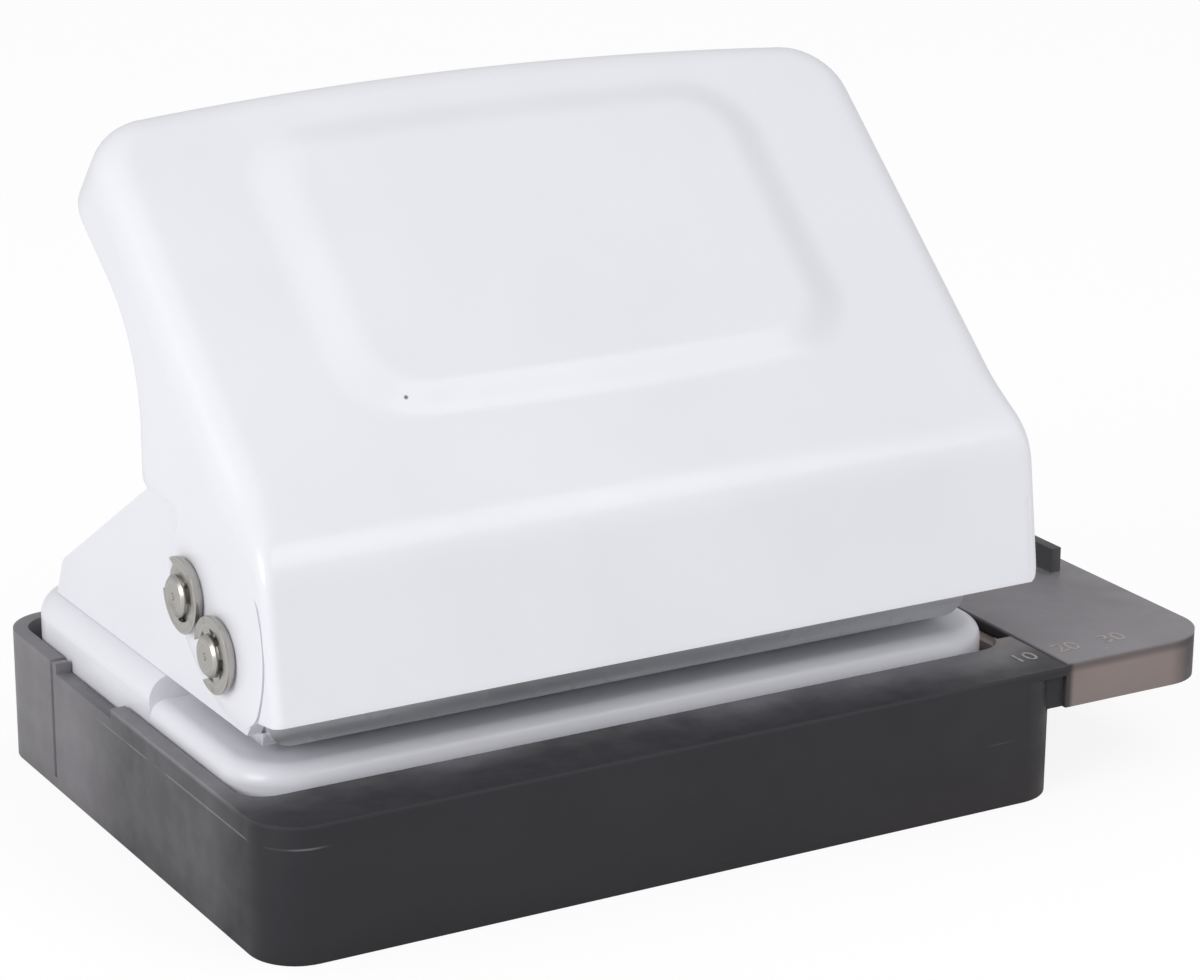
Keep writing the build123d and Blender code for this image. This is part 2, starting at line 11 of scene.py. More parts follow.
import bmesh
import bpy
import numpy as np
from bpy.props import FloatProperty, FloatVectorProperty, IntProperty, PointerProperty
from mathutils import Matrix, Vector


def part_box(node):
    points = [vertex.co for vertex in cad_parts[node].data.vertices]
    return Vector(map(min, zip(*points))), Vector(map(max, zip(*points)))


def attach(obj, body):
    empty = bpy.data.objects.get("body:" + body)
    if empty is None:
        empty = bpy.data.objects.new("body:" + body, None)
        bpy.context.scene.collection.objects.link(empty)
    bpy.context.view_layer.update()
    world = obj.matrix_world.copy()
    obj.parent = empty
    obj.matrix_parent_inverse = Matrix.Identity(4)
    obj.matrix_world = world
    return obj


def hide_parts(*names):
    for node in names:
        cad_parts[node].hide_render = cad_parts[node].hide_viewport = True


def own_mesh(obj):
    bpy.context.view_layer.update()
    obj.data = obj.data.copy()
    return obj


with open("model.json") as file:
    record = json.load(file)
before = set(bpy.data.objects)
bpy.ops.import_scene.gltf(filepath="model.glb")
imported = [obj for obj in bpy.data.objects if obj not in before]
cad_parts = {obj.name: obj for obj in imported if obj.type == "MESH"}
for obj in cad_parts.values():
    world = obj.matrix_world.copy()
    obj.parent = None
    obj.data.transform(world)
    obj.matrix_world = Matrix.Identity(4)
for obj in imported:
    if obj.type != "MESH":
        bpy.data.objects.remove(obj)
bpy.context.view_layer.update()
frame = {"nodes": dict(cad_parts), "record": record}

bl_info = {
    "name": "Desk Punch",
    "version": (1, 0, 0),
    "blender": (4, 5, 0),
    "location": "3D View > Sidebar > Punch",
    "description": "Builds the pieces, finishes and stage of a two-hole desk punch",
    "category": "Object",
}

MM = 0.001
SHARP = math.radians(35)
BODY_OF = {
    node: body for body, nodes in frame["record"]["behaviour"]["bodies"].items() for node in nodes
}
SLOT_OF = {entry["node"]: entry["material_slot"] for entry in frame["record"]["subparts"]}


def corner(node, end, axis):
    """A coordinate of a node's box in millimetres: end 0 is the lowest and 1 the highest corner."""
    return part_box(node)[end][axis] / MM


# ---------------------------------------------------------------- settings


def millimetres(name, description, size):
    """A length setting, whose default is given in millimetres."""
    return FloatProperty(name=name, description=description, default=size * MM, precision=5, unit="LENGTH")


def degrees(name, description, angle):
    """An angle setting, whose default is given in degrees."""
    return FloatProperty(name=name, description=description, default=math.radians(angle), subtype="ANGLE")


def watts(name, description, power):
    """A lamp's power."""
    return FloatProperty(name=name, description=description, default=power, unit="POWER")


def tint(name, description, colour):
    """A colour setting."""
    return FloatVectorProperty(name=name, description=description, subtype="COLOR", size=3, default=colour)


def plain(group):
    """The values of a group of settings, with lengths in millimetres and angles in radians."""
    values = {name: getattr(group, name) for name in group.__annotations__}
    for name in values:
        if group.bl_rna.properties[name].unit == "LENGTH":
            values[name] /= MM
    return SimpleNamespace(**values)


class PunchHandleSettings(bpy.types.PropertyGroup):
    """Sizes of the pressed-steel handle."""

    tilt: degrees("Tilt", "Panel above the horizontal", 41.2)
    knee_y: millimetres("Knee Y", "Where front face and panel would meet", -33.8)
    knee_z: millimetres("Knee Z", "Where front face and panel would meet", 45.7)
    front_y: millimetres("Front Y", "Lower edge of the front face", -36.5)
    front_z: millimetres("Front Z", "Lower edge of the front face", 27.4)
    knee_radius: millimetres("Knee radius", "Bend of front face to panel", 10.0)
    half_width: millimetres("Half width", "Middle to the outside of a cheek", corner("handle", 1, 0))
    length: millimetres("Length", "Panel, from the knee to the rear", 64.1)
    corner_radius: millimetres("Rear corners", "Radius seen from above", 8.5)
    rear_bow: millimetres("Rear bow", "How far the rear edge bows out", 2.0)
    panel_bend: millimetres("Panel bend", "Radius from panel to flange", 4.0)
    front_bend: millimetres("Front bend", "Radius at the front face's sides", 1.3)
    sheet: millimetres("Sheet", "Thickness of the steel", 1.2)
    plateau_height: millimetres("Plateau", "Height of the raised panel", 1.4)


class PunchPlateauSettings(bpy.types.PropertyGroup):
    """The raised part of the handle's panel."""

    middle: millimetres("Middle", "From the knee, along the panel", 36.0)
    foot_x: millimetres("Foot half width", "Where its slope starts", 35.3)
    foot_y: millimetres("Foot half length", "Where its slope starts", 20.9)
    foot_radius: millimetres("Foot corners", "Corner radius at the foot", 9.5)
    top_x: millimetres("Top half width", "Where its slope ends", 28.5)
    top_y: millimetres("Top half length", "Where its slope ends", 15.8)
    top_radius: millimetres("Top corners", "Corner radius on top", 5.0)
    bow: millimetres("Bow", "How far its long sides bow out", 1.0)


class PunchFinishSettings(bpy.types.PropertyGroup):
    """Colours of the finishes."""

    paint: tint("Paint", "White paint", (0.80, 0.805, 0.855))
    smoke: tint("Smoke", "Plastic where it is thick", (0.0205, 0.0195, 0.0245))
    # painted light: the colour of the plastic where light shines through it
    thin_smoke: tint("Thin smoke", "Plastic where light passes", (0.195, 0.188, 0.202))
    # painted light: the warm glow of the thinnest plastic with light shining through
    warm_smoke: tint("Warm smoke", "Thinnest plastic", (0.255, 0.208, 0.195))
    nickel: tint("Nickel", "Pins, clips and washers", (0.52, 0.505, 0.48))
    zinc: tint("Zinc", "Plates that guide the cutters", (0.7, 0.71, 0.74))
    tool: tint("Tool steel", "Cutters and springs", (0.45, 0.45, 0.46))
    marking: tint("Marking", "Numbers on the guide", (0.36, 0.33, 0.31))


class PunchSpringSettings(bpy.types.PropertyGroup):
    """The return springs."""

    wire: millimetres("Wire", "Wire diameter", 0.55)
    turns: FloatProperty(name="Turns", description="Turns from end to end", default=3.5)
    sides: IntProperty(name="Sides", description="Points round the wire", default=12)
    rings: IntProperty(name="Rings", description="Rings along the wire", default=168)


class PunchStageSettings(bpy.types.PropertyGroup):
    """The camera and the lamps."""

    azimuth: degrees("Azimuth", "Camera to the left of the front", 29.05)
    elevation: degrees("Elevation", "Camera above the horizon", 19.28)
    distance: millimetres("Distance", "Camera to the middle", 473.6)
    focus: millimetres("Middle", "Height of the point aimed at", 25.0)
    lens: FloatProperty(
        name="Lens", description="Focal length on a 36 mm sensor", default=115.06, unit="CAMERA"
    )
    shift_x: FloatProperty(name="Shift X", description="Sideways shift of the picture", default=0.06255)
    shift_y: FloatProperty(name="Shift Y", description="Upward shift of the picture", default=0.07486)
    key: watts("Key", "Power of the lamp at the left", 4.2)
    front: watts("Front", "Power of the lamp at the front right", 1.2)
    top: watts("Top", "Power of the lamp above", 0.8)
    sky: FloatProperty(name="Sky", description="Light from all round", default=0.6)


# ---------------------------------------------------------------- mesh helpers


def grid_faces(rows, columns, first=0, closed_rows=False, closed_columns=False):
    """Quads between a grid's points, numbered row by row. A closed direction joins its end to its start."""
    i = np.arange(rows if closed_rows else rows - 1)
    j = np.arange(columns if closed_columns else columns - 1)
    i, j = np.meshgrid(i, j, indexing="ij")
    below, beside = (i + 1) % rows, (j + 1) % columns
    quads = [i * columns + j, below * columns + j, below * columns + beside, i * columns + beside]
    return np.stack(quads, axis=-1).reshape(-1, 4) + first


def make_piece(name, points, faces, merge=0.0):
    """An object with these points, in millimetres, and faces. Points closer than merge become one."""
    mesh = bpy.data.meshes.new(name)
    mesh.from_pydata((np.asarray(points) * MM).tolist(), [], [list(face) for face in faces])
    if merge:
        tidy_mesh(mesh, merge * MM)
    piece = bpy.data.objects.new(name, mesh)
    bpy.context.scene.collection.objects.link(piece)
    return piece


def tidy_mesh(mesh, distance):
    """Merges points closer than distance, drops what has no area, and turns all faces outwards."""
    work = bmesh.new()
    work.from_mesh(mesh)
    bmesh.ops.remove_doubles(work, verts=work.verts, dist=distance)
    bmesh.ops.dissolve_degenerate(work, dist=distance, edges=work.edges)
    bmesh.ops.recalc_face_normals(work, faces=work.faces)
    work.to_mesh(mesh)
    work.free()


def settle(piece):
    """Applies the piece's modifiers to its mesh, and shades it smooth between its sharp edges."""
    bpy.context.view_layer.update()
    shape = piece.evaluated_get(bpy.context.evaluated_depsgraph_get())
    mesh = bpy.data.meshes.new_from_object(shape)
    piece.modifiers.clear()
    piece.data = mesh
    mesh.shade_smooth()
    mesh.set_sharp_from_angle(angle=SHARP)


def round_edges(piece, width, segments=2):
    """A small radius on every sharp edge of the piece."""
    bevel = piece.modifiers.new("rounded edges", "BEVEL")
    bevel.width = width * MM
    bevel.segments = segments
    bevel.limit_method = "ANGLE"
    bevel.angle_limit = SHARP
    settle(piece)


def finish_piece(piece, material, body, slot, *nodes):
    """Gives the piece its material and its body, and lets it stand for these nodes. slot is not used."""
    piece.data.materials.clear()
    piece.data.materials.append(material)
    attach(piece, body)
    if nodes:
        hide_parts(*nodes)


def edged_copy(node, width, material, segments=2):
    """Makes a copy of a node's mesh, with its triangles joined and small radii on its edges, stand for it."""
    mesh = frame["nodes"][node].data.copy()
    mesh.name = node + "_edged"
    tidy_mesh(mesh, 0.002 * MM)
    piece = bpy.data.objects.new(node + "_edged", mesh)
    bpy.context.scene.collection.objects.link(piece)
    round_edges(piece, width, segments)
    finish_piece(piece, material, BODY_OF[node], SLOT_OF[node], node)


def smooth_step(value):
    """0 below 0, 1 above 1, and between them three squares less two cubes."""
    value = np.clip(value, 0, 1)
    return value * value * (3 - 2 * value)


def arc(centre, radius, start, end, steps):
    """Points of a circle's arc in the side view, from one angle to the other, in degrees."""
    angle = np.radians(np.linspace(start, end, steps))
    return np.stack([centre[0] + radius * np.cos(angle), centre[1] + radius * np.sin(angle)], axis=1)


def flowing_line(points, ways, steps):
    """Cubic Hermite line through the points: each stretch blends its ends and their directions by cubics."""
    points, ways = np.array(points, float), np.array(ways, float)
    k = np.linspace(0, 1, steps, endpoint=False)[:, None]
    blend = (2 * k**3 - 3 * k**2 + 1, k**3 - 2 * k**2 + k, 3 * k**2 - 2 * k**3, k**3 - k**2)
    runs = [
        blend[0] * points[i] + blend[1] * ways[i] + blend[2] * points[i + 1] + blend[3] * ways[i + 1]
        for i in range(len(points) - 1)
    ]
    return np.vstack([*runs, points[-1:]])


# ---------------------------------------------------------------- material helpers


class Finish:
    """A material under construction: nodes are added by kind, and sockets are set or linked by name."""

    def __init__(self, name):
        self.material = bpy.data.materials.new(name)
        self.material.use_nodes = True
        self.tree = self.material.node_tree
        self.shader = self.tree.nodes["Principled BSDF"]
        self.place = self.node("ShaderNodeTexCoord").outputs["Object"]

    def node(self, kind, settings=None, **inputs):
        """A node of that kind. A socket given as an input is linked, and a value is set."""
        made = self.tree.nodes.new(kind)
        for name, value in (settings or {}).items():
            setattr(made, name, value)
        for name, value in inputs.items():
            self.feed(made.inputs[int(name[1:]) if name[0] == "i" and name[1:].isdigit() else name], value)
        return made

    def feed(self, socket, value):
        """Links a socket to another, or sets its value."""
        if isinstance(value, bpy.types.NodeSocket):
            self.tree.links.new(value, socket)
        else:
            socket.default_value = value

    def stretched(self, x, y, z):
        """Object coordinates scaled along each axis."""
        return self.node("ShaderNodeMapping", Vector=self.place, Scale=(x, y, z)).outputs["Vector"]

    def noise(self, scale, detail=3.0, vector=None, roughness=0.5):
        """Cloudy noise from 0 to 1, with scale in cycles per metre."""
        inputs = {"Vector": vector or self.place, "Scale": scale, "Detail": detail, "Roughness": roughness}
        return self.node("ShaderNodeTexNoise", **inputs).outputs[0]

    def math(self, operation, a, b=0.0, clamp=False):
        """One arithmetic step."""
        settings = {"operation": operation, "use_clamp": clamp}
        return self.node("ShaderNodeMath", settings, i0=a, i1=b).outputs[0]

    def times(self, a, b):
        """The product of two values."""
        return self.math("MULTIPLY", a, b)

    def vector(self, operation, a, b=(0.0, 0.0, 0.0)):
        """One step of vector arithmetic. Its outputs are 0, a vector, and Value, a number."""
        return self.node("ShaderNodeVectorMath", {"operation": operation}, i0=a, i1=b).outputs

    def span(self, value, low, high, out_low=0.0, out_high=1.0):
        """The value moved from one range to another, smoothly, and held inside it."""
        inputs = {"Value": value, "From Min": low, "From Max": high, "To Min": out_low, "To Max": out_high}
        return self.node("ShaderNodeMapRange", {"interpolation_type": "SMOOTHSTEP"}, **inputs).outputs[0]

    def ramp(self, value, low, high, out_low=0.0, out_high=1.0):
        """A span whose first range is in millimetres."""
        return self.span(value, low * MM, high * MM, out_low, out_high)

    def blend(self, factor, a, b, mode="MIX"):
        """Two colours mixed by a factor."""
        mix = self.node("ShaderNodeMix", {"data_type": "RGBA", "blend_type": mode})
        self.feed(mix.inputs[0], factor)
        for socket, colour in ((mix.inputs[6], a), (mix.inputs[7], b)):
            self.feed(socket, colour if isinstance(colour, bpy.types.NodeSocket) else (*colour[:3], 1.0))
        return mix.outputs[2]

    def axes(self):
        """The X, Y and Z of the object coordinates."""
        return self.node("ShaderNodeSeparateXYZ", Vector=self.place).outputs

    def surface(self, colour, roughness, height=None, depth=0.0, strength=1.0):
        """Feeds colour, roughness and bump to the shader. depth is the bump's height in millimetres."""
        self.feed(self.shader.inputs["Base Color"], colour)
        self.feed(self.shader.inputs["Roughness"], roughness)
        if height is not None:
            bump = self.node("ShaderNodeBump", Height=height, Distance=depth * MM, Strength=strength)
            self.feed(self.shader.inputs["Normal"], bump.outputs[0])
        return self.material

    def set(self, **values):
        """Plain values on the shader's sockets, with underscores for spaces."""
        for name, value in values.items():
            self.shader.inputs[name.replace("_", " ")].default_value = value


def scaled(colour, factor):
    """A colour made lighter or darker."""
    return tuple(min(1.0, part * factor) for part in colour)


# ---------------------------------------------------------------- the punch's finishes


CHIP = (-27.0, -20.9, 57.8)  # a dark spot in the handle's paint
CHIP_EDGE = (0.34, 0.16)  # radii where the spot starts and where it is full
SEAM_HEIGHT = 14.0  # along the tray's left wall
FENCE_HEIGHT = 3.6
PINS = (("pivot", "pivot_pin"), ("rod", "actuating_rod"))


def white_paint(name, colour, chip=None):
    """White stove enamel: fine orange peel and faint clouds. chip is the place of a tiny dark spot."""
    coat = Finish(name)
    clouds = coat.span(coat.noise(38.0, 2.0), 0.3, 0.7)
    tone = coat.blend(clouds, scaled(colour, 0.985), scaled(colour, 1.012))
    if chip is not None:
        away = coat.vector("DISTANCE", coat.place, tuple(value * MM for value in chip))["Value"]
        tone = coat.blend(coat.ramp(away, *CHIP_EDGE), tone, (0.12, 0.12, 0.13))
    sheen = coat.span(coat.noise(160.0, 3.0), 0.3, 0.7, 0.31, 0.38)
    peel = coat.noise(850.0, 2.0)
    coat.set(IOR=1.5, Coat_Weight=0.25, Coat_Roughness=0.12)
    return coat.surface(tone, sheen, peel, 0.003, 0.2)


def smoky_base(coat, tone, seam=None):
    """Moulded smoky plastic over a tone: flow lines, fine rubs, pin-pricks and a satin surface."""
    flow = coat.span(coat.noise(70.0, 4.0, coat.stretched(1.0, 1.0, 2.6)), 0.3, 0.72)
    tone = coat.blend(coat.times(flow, 0.3), tone, coat.blend(1.0, tone, (0.74, 0.72, 0.74), "MULTIPLY"))
    rubs = coat.span(coat.noise(420.0, 2.0, coat.stretched(0.12, 0.12, 2.4)), 0.66, 0.74)
    rubs = coat.times(rubs, coat.span(coat.noise(55.0, 2.0), 0.52, 0.66))
    tone = coat.blend(coat.times(rubs, 0.16), tone, (0.3, 0.3, 0.31))
    cell = coat.node("ShaderNodeTexVoronoi", Vector=coat.place, Scale=210.0)
    prick = coat.span(cell.outputs["Distance"], 0.045, 0.03)
    rare = coat.span(coat.node("ShaderNodeSeparateColor", i0=cell.outputs["Color"]).outputs[0], 0.9, 0.93)
    tone = coat.blend(coat.times(coat.times(prick, rare), 0.5), tone, (0.42, 0.41, 0.4))
    if seam is not None:
        tone = coat.blend(coat.times(seam, 0.3), tone, (0.4, 0.4, 0.41))
    satin = coat.span(coat.noise(240.0, 4.0), 0.3, 0.7, 0.36, 0.5)
    satin = coat.math("ADD", satin, coat.times(rubs, 0.12))
    coat.set(IOR=1.46, Specular_IOR_Level=0.38)
    return coat.surface(tone, satin, coat.noise(1500.0, 3.0), 0.01, 0.4)


def tray_plastic(colours):
    """Smoky plastic of the tray: dark over the deep front channel, with painted light where walls would let
    light through and where the left wall faces the key lamp, painted highlights along the top edge and rim,
    and a warm painted glow at the inner right edge. A faint seam runs along the left wall."""
    coat = Finish("tray_plastic")
    x, y, z = coat.axes()[:3]
    top = corner("chip_tray", 1, 2)
    wander = coat.times(coat.math("SUBTRACT", coat.noise(30.0, 2.0), 0.5), 26 * MM)
    along = coat.math("ADD", y, wander)
    # painted light: lighter towards the rear of the walls, where light would shine through the plastic and the
    # key lamp falls on the left wall
    painted_light = coat.math("ADD", coat.ramp(along, -36, -24, 0.0, 0.33), coat.ramp(along, -4, 18, 0.0, 0.6))
    # less painted light towards the bottom
    painted_light = coat.math("SUBTRACT", painted_light, coat.ramp(z, 3, 0, 0.0, 0.12))
    # painted highlight along the top edge
    painted_light = coat.math("ADD", painted_light, coat.ramp(z, top - 0.6, top - 0.2, 0.0, 0.07))
    # painted highlight on the rim's top towards the rear
    rim = coat.times(coat.ramp(z, top - 0.8, top - 0.2), coat.ramp(along, -33, -26))
    painted_light = coat.math("ADD", painted_light, coat.times(rim, 0.6), clamp=True)
    # painted light: the colour of lit plastic, mixed in by that share
    tone = coat.blend(painted_light, tuple(colours.smoke), tuple(colours.thin_smoke))
    # painted light: a warm glow where light would shine through the inner right edge
    warm = coat.times(coat.ramp(x, 35, 52), coat.ramp(y, -31, -27))
    tone = coat.blend(coat.times(warm, 0.95), tone, tuple(colours.warm_smoke))
    low_warm = coat.times(coat.ramp(z, 7, 1), coat.ramp(x, 5, 50))
    tone = coat.blend(coat.times(low_warm, 0.25), tone, (0.05, 0.036, 0.034))
    band = coat.math("ABSOLUTE", coat.math("SUBTRACT", z, SEAM_HEIGHT * MM))
    seam = coat.times(coat.ramp(band, 0.16, 0.06), coat.ramp(x, -46, -50))
    seam = coat.times(seam, coat.span(coat.noise(120.0, 2.0), 0.38, 0.5))
    seam = coat.times(seam, coat.ramp(y, 14, 8))
    return smoky_base(coat, tone, seam)


def guide_plastic(colours):
    """Smoky plastic of the paper guide, with painted light: a top lit as if light shone through it, a warm
    painted glow on its sides, and painted shade at its ends, in a band under its top edge, on the fence in the
    handle's shadow and on the bar inside the tray.
    """
    coat = Finish("guide_plastic")
    x, _, z = coat.axes()[:3]
    top = corner("paper_guide", 1, 2) - FENCE_HEIGHT
    left, right = corner("chip_tray", 1, 0), corner("paper_guide", 1, 0)
    smoke = tuple(colours.smoke)
    # painted light: the top lit as if light shone through the plastic, the sides in a warm painted glow
    light = scaled(colours.thin_smoke, 1.3)
    tone = coat.blend(coat.ramp(z, top - 0.8, top - 0.1, 0.0, 0.95), tuple(colours.warm_smoke), light)
    # painted shade at the head's right end and beside the tray's edge, below the top
    edge = coat.math("MAXIMUM", coat.ramp(x, right - 7, right - 2.5), coat.ramp(x, left + 1.6, left + 0.6))
    low = coat.math("SUBTRACT", 1.0, coat.ramp(z, top - 0.6, top - 0.1))
    tone = coat.blend(coat.times(coat.times(edge, low), 0.88), tone, smoke)
    # painted shade in a band under the top edge
    rim = coat.times(coat.ramp(z, top - 1.8, top - 0.8), low)
    tone = coat.blend(coat.times(rim, 0.5), tone, smoke)
    # painted shadow of the handle on the fence
    tone = coat.blend(coat.ramp(z, top + 0.1, top + 0.5, 0.0, 0.75), tone, smoke)
    # painted shade on the bar where it lies inside the tray
    tone = coat.blend(coat.times(coat.ramp(x, left + 0.4, left - 0.2), 0.8), tone, smoke)
    return smoky_base(coat, tone)


def plated_steel(name, colour, roughness, ring_place=None):
    """Plated steel: faint streaks, or turned rings about a line through ring_place, and small stains."""
    coat = Finish(name)
    if ring_place is None:
        grain = coat.noise(300.0, 4.0, coat.stretched(0.06, 1.6, 1.6))
    else:
        offset = coat.vector("SUBTRACT", coat.place, ring_place)[0]
        flat = coat.vector("MULTIPLY", offset, (0.0, 1.0, 1.0))[0]
        away = coat.vector("LENGTH", flat)["Value"]
        grain = coat.noise(5200.0, 3.0, coat.node("ShaderNodeCombineXYZ", X=away).outputs[0])
    tone = coat.blend(coat.span(grain, 0.3, 0.7), scaled(colour, 0.8), scaled(colour, 1.1))
    stain = coat.span(coat.noise(420.0, 3.0), 0.56, 0.7)
    tone = coat.blend(coat.times(stain, 0.28), tone, scaled(colour, 0.5))
    dull = coat.span(grain, 0.3, 0.7, roughness - 0.05, roughness + 0.06)
    dull = coat.math("ADD", dull, coat.times(stain, 0.1))
    coat.set(Metallic=1.0)
    return coat.surface(tone, dull, grain, 0.006, 0.3)


def spring_wire(colour):
    """Oiled spring wire: drawn along its length, with dark oil in patches."""
    coat = Finish("spring_wire")
    drawn = coat.noise(1500.0, 3.0, coat.stretched(1.0, 1.0, 5.0))
    tone = coat.blend(coat.span(drawn, 0.3, 0.7), scaled(colour, 0.75), scaled(colour, 1.15))
    oil = coat.span(coat.noise(500.0, 2.0), 0.55, 0.7)
    tone = coat.blend(coat.times(oil, 0.4), tone, (0.09, 0.075, 0.06))
    coat.set(Metallic=1.0)
    return coat.surface(tone, coat.span(drawn, 0.3, 0.7, 0.29, 0.38), drawn, 0.006, 0.3)


def pad_print(colour):
    """Printed marks: slightly worn ink."""
    coat = Finish("pad_print")
    worn = coat.span(coat.noise(1400.0, 3.0), 0.5, 0.64)
    tone = coat.blend(coat.times(worn, 0.5), tuple(colour), scaled(colour, 0.45))
    return coat.surface(tone, coat.span(worn, 0.0, 1.0, 0.5, 0.62), worn, 0.004, 0.3)


finishes = {}


class PUNCH_OT_finishes(bpy.types.Operator):
    """Makes the materials, and gives one to every node that keeps its own mesh"""

    bl_idname = "punch.finishes"
    bl_label = "Finishes"

    def execute(self, context):
        colours = context.scene.punch_finish
        paint = tuple(colours.paint)
        finishes["handle_paint"] = white_paint("handle_paint", paint, CHIP)
        finishes["frame_paint"] = white_paint("frame_paint", paint)
        finishes["tray"] = tray_plastic(colours)
        finishes["guide"] = guide_plastic(colours)
        finishes["zinc"] = plated_steel("zinc_plate", tuple(colours.zinc), 0.42)
        finishes["tool"] = plated_steel("tool_steel", tuple(colours.tool), 0.34)
        finishes["spring"] = spring_wire(tuple(colours.tool))
        finishes["marking"] = pad_print(colours.marking)
        finishes["rivet"] = plated_steel("rivet_steel", tuple(colours.nickel), 0.34)
        for part, pin in PINS:
            low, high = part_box(pin)
            middle = tuple((low + high) / 2)
            finishes[part] = plated_steel(part + "_nickel", tuple(colours.nickel), 0.34, middle)
        for node in ("base_plate", "left_side_plate", "right_side_plate"):
            paint_node(node, finishes["frame_paint"])
        for node in ("left_cutter", "right_cutter"):
            paint_node(node, finishes["tool"])
        return {"FINISHED"}


def paint_node(node, material):
    """Puts the material in the slots of a node's object."""
    item = frame["nodes"][node]
    if not item.material_slots:
        item.data.materials.append(material)
    for slot in item.material_slots:
        slot.link = "OBJECT"
        slot.material = material


# ---------------------------------------------------------------- handle


def heading(angle):
    """The direction at an angle above the horizontal in the side view, and the one square to it, inwards."""
    way = np.stack([np.cos(angle), np.sin(angle)], axis=-1)
    return way, np.stack([np.sin(angle), -np.cos(angle)], axis=-1)


class HandleLine:
    """The handle's outer line in the side view: straight up the front face, an arc round the knee, and
    straight up the panel. Points are (Y, Z), and distances along it start at the front face's lower edge."""

    def __init__(self, form):
        self.front = np.array([form.front_y, form.front_z])
        self.knee = np.array([form.knee_y, form.knee_z])
        up = self.knee - self.front
        self.first = math.atan2(up[1], up[0])
        self.last = form.tilt
        self.panel_way, self.panel_in = heading(self.last)
        self.radius = form.knee_radius
        turn = self.first - self.last
        self.reach = self.radius * math.tan(turn / 2)
        self.rise = np.hypot(*up) - self.reach
        self.bend = self.radius * turn

    def at(self, along):
        """Point, direction and inward normal at each distance along the line."""
        along = np.asarray(along, float)
        turned = np.clip((along - self.rise) / self.radius, 0, self.first - self.last)
        way, inward = heading(self.first - turned)
        start_way, start_in = heading(self.first)
        point = self.front + np.minimum(along, self.rise)[..., None] * start_way
        point = point + self.radius * (start_in - inward)
        point = point + np.maximum(along - self.rise - self.bend, 0)[..., None] * way
        return point, way, inward

    def from_knee(self, along):
        """Distance up the panel from the knee point."""
        return along - self.rise - self.bend + self.reach

    def to_along(self, from_knee):
        """The reverse of from_knee."""
        return from_knee + self.rise + self.bend - self.reach

    def panel_place(self, point):
        """How far up the panel from the knee, and how deep under it, a point of the side view lies."""
        offset = point - self.knee
        return offset @ self.panel_way, offset @ self.panel_in


SLIT_TOP = 41.4
SLIT_END = 27.5
SLIT_HALF = 0.25  # half its width
SLIT_BOW = (-33.85, 34.3, 0.036)  # foremost point as (y, z), and how fast it bows back from there
# the cheek's free edge: its foot, the throat above the pins' tongue, and the step and the hollow behind it
CHEEK_BOTTOM = 24.9
CHEEK_BEND = 1.5
THROAT = (-10.03, 44.62)
CHEEK_BACK = -2.2
CHEEK_STEP = 45.9
HOLLOW_FOOT = 52.5
HOLLOW_RADIUS = 20.0
HOLLOW_TURN = 54.0
# stretch of the panel, from the knee, whose cheek is drawn as a fan round the slit and the tongue
FAN_START = 5.0
FAN_END = 14.0
# the front face's lower right corner is rounded: an ellipse over the bend, fading out up the face
CORNER_START = 0.4
CORNER_WIDE = 1.8
CORNER_TALL = 4.0
CORNER_FADE = 12.0
ACROSS = 129  # points across the panel


def slit_middle(height):
    """Y of the slit's middle at a height: a parabola that bows towards the front."""
    front, level, bow = SLIT_BOW
    return front + bow * (height - level) ** 2


def cheek_outline():
    """A cheek's free edge in the side view: down the slit, along the foot, round the pins, up the back."""
    heights = np.linspace(SLIT_TOP, SLIT_END, 24)
    slit = np.stack([slit_middle(heights) + SLIT_HALF, heights], axis=1)
    toe = flowing_line([slit[-1], (-28.0, CHEEK_BOTTOM)], [(1.7, -3.4), (3.4, 0.0)], 10)[1:]
    stops = [(-26.0, CHEEK_BOTTOM), (-15.6, 28.6), (-9.3, 37.0), (-11.4, 44.0)]
    ways = [(11.0, 0.0), (8.6, 6.2), (2.1, 7.9), (-2.9, 6.4)]
    bottom = np.linspace(toe[-1], stops[0], 6, endpoint=False)[1:]
    lobe = flowing_line(stops, ways, 14)
    throat = arc(THROAT, CHEEK_BEND, 204, 94, 10)
    heel = arc((CHEEK_BACK - CHEEK_BEND, CHEEK_STEP + CHEEK_BEND), CHEEK_BEND, -90, 0, 7)
    ledge = np.linspace(throat[-1], heel[0], 8)[1:-1]
    hollow = arc((CHEEK_BACK + HOLLOW_RADIUS, HOLLOW_FOOT), HOLLOW_RADIUS, 180, 180 - HOLLOW_TURN, 24)
    back = np.linspace(heel[-1], hollow[0], 6)[1:-1]
    rise = math.radians(90 - HOLLOW_TURN)
    rear = hollow[-1] + np.linspace(1, 30, 12)[:, None] * np.array([math.cos(rise), math.sin(rise)])
    return np.vstack([slit, toe, bottom, lobe[:-1], throat, ledge, heel, back, hollow, rear])


def rounded_distance(x, y, half_x, half_y, radius):
    """Distance to a rounded rectangle's edge, negative inside: the overshoot past its inner corners."""
    over_x = np.abs(x) - (half_x - radius)
    over_y = np.abs(y) - (half_y - radius)
    outside = np.hypot(np.maximum(over_x, 0), np.maximum(over_y, 0))
    return outside + np.minimum(np.maximum(over_x, over_y), 0) - radius


def plateau_rise(plateau, x, along):
    """Share of the plateau's height: a smooth step from its foot outline to its top outline."""
    bow = plateau.bow * (1 - (x / plateau.foot_x) ** 2)
    across = along - plateau.middle
    foot = -rounded_distance(x, across, plateau.foot_x, plateau.foot_y + bow, plateau.foot_radius)
    top = rounded_distance(x, across, plateau.top_x, plateau.top_y + bow, plateau.top_radius)
    foot, top = np.maximum(foot, 0), np.maximum(top, 0)
    return smooth_step(foot / np.maximum(foot + top, 1e-6))


